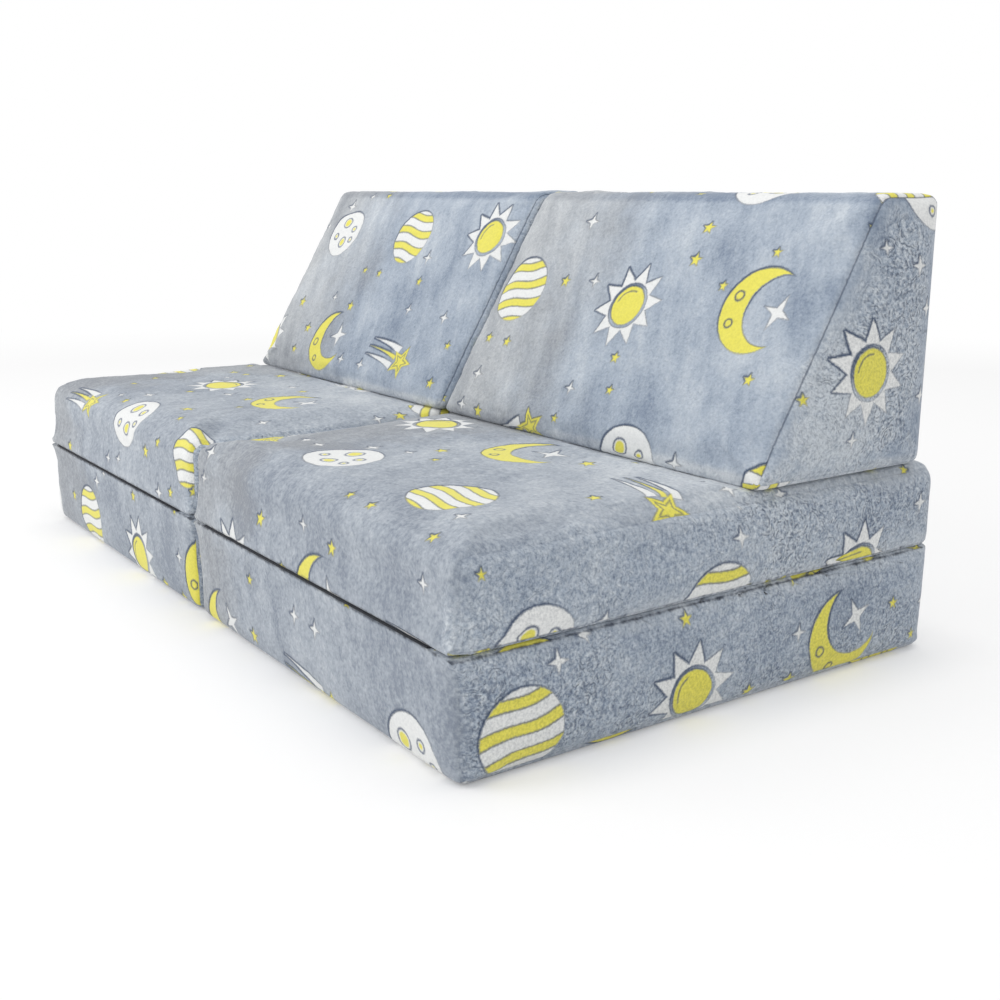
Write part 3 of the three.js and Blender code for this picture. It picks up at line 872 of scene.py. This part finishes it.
# Painted shade between the fibres: the colour darkened where the nap is low, more on the end panels
between = Wire.node("ValToRGB", {"stops": [(0.3, NAP_SHADOW), (0.62, (1, 1, 1, 1))]}, {0: nap})
mixing = {"data_type": "RGBA", "blend_type": "MULTIPLY"}
grain_with_nap_shade = Wire.node("Mix", mixing, {0: flank_share * 0.25 + 0.15, 6: inked, 7: between}, 2)

# %% The height of the nap, low where the ink is rolled on, and the finish
NAP_HIGH, COARSE_HIGH, WOOLLY_HIGH, STREAKS_HIGH = 0.0010, 0.0010, 0.0006, 0.0018
CREASES_DEEP, LINES_DEEP, SEAM_DEEP = 0.0012, 0.0003, 0.0009
ROLLED_FLAT = 0.7

height = nap * NAP_HIGH + coarse * COARSE_HIGH + woolly * WOOLLY_HIGH - crushed * CREASES_DEEP
height = height + streaks * even * STREAKS_HIGH
height = height * (1 - larger(yellow, white) * ROLLED_FLAT) - dark * LINES_DEEP - seam_line * SEAM_DEEP
feed(shader, Base_Color=grain_with_nap_shade, Roughness=0.78 + nap * 0.2, Normal=bumped(height))
feed(shader, Sheen_Weight=0.25, Sheen_Roughness=0.5, Specular_IOR_Level=0.25)


def dress(pieces, material):
    for piece in pieces:
        piece.data.materials.clear()
        piece.data.materials.append(material)


dress(cushions, plush)
print("plush:", len(plush.node_tree.nodes), "nodes")

# %% [markdown]
# ## Hinge tapes
# The upper block turns about the crease, and the wedge about the back of its foot. Both hinges are folded woven
# tape: one leaf ends in a rolled bead, the other closes over it. A tape could be a curve with a bevel, but then its
# width would need a profile; an edge extruded from point to point and then thickened is simpler and stays thin.

# %% A tape from an edge, drawn out point by point, with its bead
TAPE_THICKNESS = 0.0008
HINGE_LENGTH = 0.514
BEAD_RADIUS = 0.0007


def arc(centre, radius, first_deg, last_deg, steps=8):
    turns = [math.radians(first_deg + (last_deg - first_deg) * k / steps) for k in range(steps + 1)]
    return [(centre[0] + radius * math.cos(turn), centre[1] + radius * math.sin(turn)) for turn in turns]


def tape_along(name, centre_x, line, points):
    """A tape whose section follows these points, given in Y and Z from the hinge line."""
    start_fresh()
    bpy.ops.mesh.primitive_plane_add(size=HINGE_LENGTH)
    piece = bpy.context.object
    piece.name = name
    edit(piece)
    choose("VERT", lambda corners: corners[0].y < 0)
    bpy.ops.mesh.delete(type="VERT")
    bpy.ops.mesh.select_all(action="SELECT")
    start = (centre_x, line[0] + points[0][0] - HINGE_LENGTH / 2, line[1] + points[0][1])
    bpy.ops.transform.translate(value=start)
    for before, after in zip(points, points[1:]):
        step = (0, after[0] - before[0], after[1] - before[1])
        bpy.ops.mesh.extrude_region_move(TRANSFORM_OT_translate={"value": step})
    finish_with(piece, "SOLIDIFY", thickness=TAPE_THICKNESS, offset=0)
    fine_bevel(piece, 0.0003, 2)
    return piece


def bead_on(piece, centre_x, line):
    """The rolled edge of a tape, joined to it."""
    start_fresh()
    bpy.ops.mesh.primitive_cylinder_add(
        vertices=20, radius=BEAD_RADIUS, depth=HINGE_LENGTH, location=(centre_x, *line), rotation=(0, math.pi / 2, 0))
    bead = bpy.context.object
    bpy.ops.object.transform_apply(location=True, rotation=True, scale=True)
    fine_bevel(bead, 0.0004, 3)
    take(piece)
    bead.select_set(True)
    bpy.ops.object.join()


# %% Both hinges of both seats
FLIP_LINE = (-0.3312, 0.12515)
SWING_LINE = (0.316, 0.22245)
FRONT_TAPE = [(0, 0), (0.0030, -0.0005), (0.0065, -0.0006), (0.0105, -0.0006)]
FRONT_FLAP = [(0.0013, 0.0006), (0.0040, 0.0006), (0.0065, 0.0006), (0.0105, 0.0006)]
BACK_TAPE = [(0, 0)] + arc((-0.013, -0.02415), 0.02485, 60, 88)
BACK_FLAP = [(-0.0020, 0.0015)] + arc((-0.030, 0.01115), 0.01185, 339, 300)

tapes = []
for side, sign in SIDES:
    centre_x = sign * SEAT_CENTRE
    for node, body, line, points, beaded in (
        ("front_hinge_tape", "base", FLIP_LINE, FRONT_TAPE, True),
        ("front_hinge_flap", f"seat_{side}", FLIP_LINE, FRONT_FLAP, False),
        ("back_hinge_tape", f"seat_{side}", SWING_LINE, BACK_TAPE, True),
        ("back_hinge_flap", f"wedge_{side}", SWING_LINE, BACK_FLAP, False),
    ):
        piece = tape_along(f"{node}_{side}_woven", centre_x, line, points)
        if beaded:
            bead_on(piece, centre_x, line)
        smooth(piece, 40)
        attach(piece, body)
        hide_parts(f"{node}_{side}")
        tapes.append(piece)
print(len(tapes), "hinge tapes")

# %% [markdown]
# ## Zips
# Each cover opens at the back. A zip is two woven tapes with a row of small moulded teeth on each, the two rows
# meshing. One tooth is modelled and copied along with an array, once for each row, and the rows are half a pitch
# apart. The two rows of stitches that hold the tapes are made the same way. The slider is a small die-cast body with
# a bridge and a pull.

# %% Rows of teeth and of stitches
TEETH_ROOM = 0.470
PITCH, TOOTH_SIZE, TOOTH_BEVEL = 0.0022, Vector((0.0013, 0.0018, 0.0032)), 0.00035
STITCH_PITCH, STITCH_SIZE, STITCH_BEVEL = 0.0036, Vector((0.0026, 0.0005, 0.0005)), 0.00012
TEETH_SUNK, ROW_AWAY, STITCH_AWAY = 0.0009, 0.0009, 0.0063


def row_of(size, middle, pitch, shift, soft):
    """A small bevelled block, copied along X from one end of the zip's room to the other."""
    first = Vector((middle[0] - TEETH_ROOM / 2 + shift + size.x / 2, middle[1], middle[2]))
    unit = box_piece("unit", first - size / 2, first + size / 2)
    finish_with(unit, "BEVEL", width=soft, segments=1)
    copy_along(unit, int(TEETH_ROOM / pitch), (pitch, 0, 0))
    return unit


def joined(name, first, second):
    take(first)
    second.select_set(True)
    bpy.ops.object.join()
    first.name = name
    smooth(first, 40)
    return first


def woven_zip(name, node):
    low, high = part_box(node)
    centre, height = (low.x + high.x) / 2, (low.z + high.z) / 2
    rear = high.y - TEETH_SUNK
    tape = box_piece(name, (low.x, low.y, low.z), (high.x, rear - 0.0005, high.z))
    edit(tape)
    choose("FACE", lambda corners: min(corner.y for corner in corners) > rear - 0.0006)
    bpy.ops.mesh.inset(thickness=0.0012, depth=0)
    bpy.ops.transform.translate(value=(0, 0.0003, 0))
    fine_bevel(tape, 0.0002, 2)
    smooth(tape, 40)
    teeth = [row_of(TOOTH_SIZE, (centre, rear, height + up * ROW_AWAY), PITCH, shift, TOOTH_BEVEL)
             for up, shift in ((1, 0), (-1, PITCH / 2))]
    thread = [row_of(STITCH_SIZE, (centre, rear - 0.0002, height + up * STITCH_AWAY), STITCH_PITCH, 0.0004,
                     STITCH_BEVEL) for up in (1, -1)]
    return tape, joined(f"{node}_teeth", *teeth), joined(f"{node}_stitches", *thread)


# %% The slider, and all six zips
PLATE_HALF, PLATE_THICK, PLATE_TAPER = 0.004, 0.0018, 0.62
BRIDGE_LONG, BRIDGE_WIDE, BRIDGE_FOOT, BRIDGE_TOP = 0.0035, 0.0011, 0.0015, 0.0037
PULL_HALF, PULL_THICK, PULL_ROUND = 0.0025, 0.0012, 0.0018


def slider_with_pull(name, node, outward):
    low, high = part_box(node)
    centre = (low.x + high.x) / 2
    middle = high.z - PLATE_HALF
    front, back = low.y, high.y
    body = box_piece(name, (low.x, front, middle - PLATE_HALF), (high.x, front + PLATE_THICK, middle + PLATE_HALF))
    edit(body)
    choose("VERT", lambda corners: (corners[0].x - centre) * outward < 0)
    bpy.ops.transform.resize(value=(1, 1, PLATE_TAPER))
    choose("FACE", lambda corners: min(corner.y for corner in corners) > front + 0.001)
    bpy.ops.mesh.inset(thickness=0.0009, depth=0.0003)
    fine_bevel(body, 0.0004, 3)
    bridge = box_piece("bridge", (centre - BRIDGE_LONG, front + BRIDGE_FOOT, middle - BRIDGE_WIDE),
                       (centre + BRIDGE_LONG, front + BRIDGE_TOP, middle + BRIDGE_WIDE))
    finish_with(bridge, "BEVEL", width=0.0008, segments=3)
    pull = box_piece("pull", (centre - PULL_HALF, back - PULL_THICK, low.z), (centre + PULL_HALF, back, high.z))
    edit(pull)
    choose("EDGE", lambda corners: abs(corners[0].y - corners[1].y) > 0.001)
    bpy.ops.mesh.bevel(offset=PULL_ROUND, segments=5, affect="EDGES")
    choose("FACE", lambda corners: min(corner.y for corner in corners) > back - 0.0001)
    bpy.ops.mesh.inset(thickness=0.0008, depth=0)
    bpy.ops.mesh.inset(thickness=0.0003, depth=-0.0004)
    fine_bevel(pull, 0.00015, 2)
    take(body)
    for part in (bridge, pull):
        part.select_set(True)
    bpy.ops.object.join()
    smooth(body, 35)
    return body


zip_tapes, zip_teeth, zip_stitches, sliders = [], [], [], []
for kind in BLOCKS:
    for side, sign in SIDES:
        node = f"{kind}_{side}_zip"
        body = body_of(kind, side)
        tape, teeth, thread = woven_zip(f"{node}_tape", node)
        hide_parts(node)
        for piece in (tape, teeth, thread):
            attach(piece, body)
        slider = slider_with_pull(f"{node}_slider_cast", f"{node}_slider", sign)
        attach(slider, f"{kind}_{side}_slider")
        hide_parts(f"{node}_slider")
        zip_tapes.append(tape)
        zip_teeth.append(teeth)
        zip_stitches.append(thread)
        sliders.append(slider)
print(len(sliders), "zips, teeth in each:", 2 * int(TEETH_ROOM / PITCH))

# %% [markdown]
# ## Underside and the tapes between the seats
# The lower blocks stand on a firm woven panel with rubber dots, hemmed all round. Between the seats a hook tape on
# one block grips a loop tape on the other. All are flat goods, so a box with rounded corners, a hem pressed in
# by an inset and a fine bevel give their form. The dots are one low dome, copied in rows and columns by two arrays.

# %% Base panels and grip tapes
def flat_goods(name, node, axis, corner, hem, body, lift=0.0):
    """A flat piece at its node's place, its thickness along `axis`, with round corners and a pressed hem."""
    low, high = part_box(node)
    low[axis] += lift
    piece = box_piece(name, low, high)
    edit(piece)
    thick = high[axis] - low[axis]
    choose("EDGE", lambda corners: abs(corners[0][axis] - corners[1][axis]) > thick / 2)
    bpy.ops.mesh.bevel(offset=corner, segments=8, affect="EDGES")
    for face in (low[axis], high[axis]):
        choose("FACE", lambda corners: max(abs(corner[axis] - face) for corner in corners) < 1e-5)
        bpy.ops.mesh.inset(thickness=hem, depth=0)
        bpy.ops.mesh.inset(thickness=0.0006, depth=-0.0003)
    fine_bevel(piece, 0.0002, 2)
    smooth(piece, 40)
    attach(piece, body)
    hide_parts(node)
    return piece


DOT_PITCH, DOT_RADIUS, DOT_PROUD = 0.0145, 0.0023, 0.0006
DOT_MARGIN = 0.025
DOT_FOOT_SHARE = 0.62


def rubber_dots(side):
    """Dots on the underside: one low dome, copied in rows and columns."""
    low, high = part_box(f"lower_{side}_base_panel")
    counts = [int((high[axis] - low[axis] - 2 * DOT_MARGIN) / DOT_PITCH) for axis in (0, 1)]
    start = [(low[axis] + high[axis] - (counts[axis] - 1) * DOT_PITCH) / 2 for axis in (0, 1)]
    start_fresh()
    bpy.ops.mesh.primitive_cylinder_add(
        vertices=8, radius=DOT_RADIUS, depth=2 * DOT_PROUD, location=(*start, DOT_PROUD), end_fill_type="NGON")
    dots = bpy.context.object
    dots.name = f"lower_{side}_base_dots"
    bpy.ops.object.transform_apply(location=True, rotation=True, scale=True)
    edit(dots)
    choose("FACE", lambda corners: max(corner.z for corner in corners) < 1e-5)
    bpy.ops.transform.resize(value=(DOT_FOOT_SHARE, DOT_FOOT_SHARE, 1))
    copy_along(dots, counts[0], (DOT_PITCH, 0, 0))
    copy_along(dots, counts[1], (0, DOT_PITCH, 0))
    smooth(dots, 30)
    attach(dots, "base")
    return dots


panels = [flat_goods(f"lower_{side}_base", f"lower_{side}_base_panel", 2, 0.024, 0.010, "base",
                     DOT_PROUD) for side, _ in SIDES]
dots = [rubber_dots(side) for side, _ in SIDES]
print("dots under each block:", len(dots[0].data.polygons) // 10)
grips = [flat_goods(f"{name}_woven", name, 0, 0.004, 0.003, "base")
         for name in ("hook_tape", "loop_tape")]

# %% [markdown]
# ## Woven, cast and rubber finishes
# Webbing is a twill: raised diagonal ribs crossed by finer threads, darker in the gaps, drawn on Object coordinates,
# which are in metres here. The same twill at another scale and colour serves the hinge tapes, the zips, the thread
# and the grip tapes.

# %% Woven tape
def woven(name, light, deep, rib):
    """Twill with ribs that far apart."""
    material, shader = new_finish(name)
    here = own_place()
    x, y, z = parts(here)
    twist = 2 * math.pi / rib
    ribs = Wire.math("SINE", (x + y + z) * twist) * 0.5 + 0.5
    threads = Wire.math("SINE", (x - y - z) * (twist * 1.9)) * 0.5 + 0.5
    wear = noise(here, 90, 3.0)
    fibre = noise(here, 2600, 2.0)
    level = ribs * 0.55 + threads * 0.25 + fibre * 0.2
    shade = tint(ramp(level + (wear - 0.5) * 0.5, 0.15, 0.95), deep, light)
    feed(shader, Base_Color=shade, Roughness=0.72 + fibre * 0.25, Normal=bumped(level * (rib * 0.35)))
    feed(shader, Sheen_Weight=0.15, Specular_IOR_Level=0.3)
    return material


# The hinge tapes are real webbing, coloured near-black so that they also stand for the shade in the crease between
# the blocks
dress(tapes, woven("hinge webbing", colour(46, 52, 66), colour(8, 10, 16), 0.0016))
dress(zip_stitches, woven("thread", colour(206, 212, 219), colour(150, 158, 170), 0.0003))
dress(zip_tapes, woven("zip tape", colour(150, 162, 178), colour(96, 108, 126), 0.0008))
dress(grips, woven("grip tape", colour(64, 70, 80), colour(28, 32, 40), 0.0009))

# %% Moulded teeth and the painted slider
nylon, shader = new_finish("moulded teeth")
here = own_place()
scuff = noise(here, 160, 3.0)
feed(shader, Base_Color=tint(scuff, colour(150, 160, 174), colour(176, 184, 196)), Roughness=0.34 + scuff * 0.2,
     Normal=bumped(noise(here, 900, 2.0) * 0.00004))
dress(zip_teeth, nylon)

cast, shader = new_finish("painted slider")
here = own_place()
wear = ramp(noise(here, 420, 4.0, 0.7), 0.56, 0.72)
feed(shader, Base_Color=tint(wear, colour(128, 138, 152), colour(186, 190, 196)), Metallic=0.35 + wear * 0.5,
     Roughness=0.30 + noise(here, 700, 2.0) * 0.25, Normal=bumped(noise(here, 1100, 3.0) * 0.00003))
dress(sliders, cast)

# %% Base fabric and rubber
grippy, shader = new_finish("base fabric")
here = own_place()
x, y, _ = parts(here)
weave = Wire.math("SINE", x * 4200) * Wire.math("SINE", y * 4200)
fibre = noise(here, 1400, 2.0)
dust = noise(here, 22, 4.0)
shade = tint(weave * 0.3 + fibre * 0.5 + 0.2, colour(66, 73, 82), colour(112, 120, 130))
shade = tint(ramp(dust, 0.5, 0.8) * 0.25, shade, colour(150, 152, 152))
feed(shader, Base_Color=shade, Roughness=0.80 + fibre * 0.15, Normal=bumped(weave * 0.00012 + fibre * 0.0001))
dress(panels, grippy)

rubber, shader = new_finish("rubber dots")
here = own_place()
dust = noise(here, 60, 4.0)
feed(shader, Base_Color=tint(ramp(dust, 0.4, 0.8), colour(40, 44, 50), colour(78, 82, 88)),
     Roughness=0.5 + dust * 0.25, Normal=bumped(noise(here, 900, 2.0) * 0.00005))
dress(dots, rubber)

# %% [markdown]
# ## Floor, light and background
# The sofa stands on a plain white floor in a soft studio light, brighter from the left front. A white floor lit like
# that is a pale grey in a picture, and turning up the lamps would wash out the plush. So for the camera the floor is
# mixed with a white glow: little of it at the sofa's foot, where the shadow stays, and all of it far away. The world
# is white to the camera too.

# %% Floor
def seen_directly():
    """1 for a ray from the camera, and for one that metal or glass has turned."""
    rays = Wire.node("LightPath")
    return larger(rays, *[Wire(rays.socket.node.outputs[f"Is {kind} Ray"]) for kind in ("Glossy", "Transmission")])


PAPER_NEAR, PAPER_OUTSIDE, PAPER_FAR = 0.22, 0.60, 1.0
FOOT_HALF_WIDE, FOOT_HALF_DEEP, FOOT_SHADOW = 0.60, 0.33, 0.10
NEAR, FAR_OFF = 1.2, 3.5
start_fresh()
bpy.ops.mesh.primitive_plane_add(size=80, location=(0, 0, -0.0005))
bpy.ops.object.transform_apply(location=True)
floor = bpy.context.object
floor.name = "floor"
paper, shader = new_finish("white floor")
feed(shader, Base_Color=colour(253, 253, 253), Roughness=0.9)
floor_x, floor_y, _ = parts(own_place())
away = ramp(distance(floor_x, floor_y), NEAR, FAR_OFF)
past_x = larger(size_of(floor_x) - FOOT_HALF_WIDE, 0.0)
past_y = larger(size_of(floor_y) - FOOT_HALF_DEEP, 0.0)
beside = ramp(distance(past_x, past_y), 0.0, FOOT_SHADOW)
paper_share = larger(away * PAPER_FAR, beside * (PAPER_OUTSIDE - PAPER_NEAR) + PAPER_NEAR)
glow = Wire.node("Emission", None, {"Color": (1, 1, 1, 1), "Strength": 1.0})
lifted = Wire.node("MixShader", None, {0: seen_directly() * paper_share, 1: Wire(shader.outputs[0]), 2: glow})
Wire.tree.links.new(lifted.socket, Wire.tree.nodes["Material Output"].inputs["Surface"])
floor.data.materials.append(paper)

# %% World and lamps
AMBIENT = 0.70
world = bpy.data.worlds.new("studio")
bpy.context.scene.world = world
world.use_nodes = True
Wire.tree = world.node_tree
backdrop = world.node_tree.nodes["Background"]
strength = seen_directly() * (1 - AMBIENT) + AMBIENT
backdrop.inputs["Color"].default_value = (1, 1, 1, 1)
world.node_tree.links.new(strength.socket, backdrop.inputs["Strength"])


LAMPS_AIM = Vector((0, 0, 0.2))


def lamp(name, place, size, watts):
    """A square soft box that faces the sofa."""
    start_fresh()
    bpy.ops.object.light_add(type="AREA", location=place)
    light = bpy.context.object
    light.name = name
    light.data.size = size
    light.data.energy = watts
    light.rotation_euler = (LAMPS_AIM - Vector(place)).to_track_quat("-Z", "Y").to_euler()


lamp("soft box left", (-1.5, -2.9, 2.2), 2.2, 48)
lamp("soft box above", (0.6, 0.1, 3.0), 2.5, 26)
bpy.context.scene.view_settings.view_transform = "Standard"
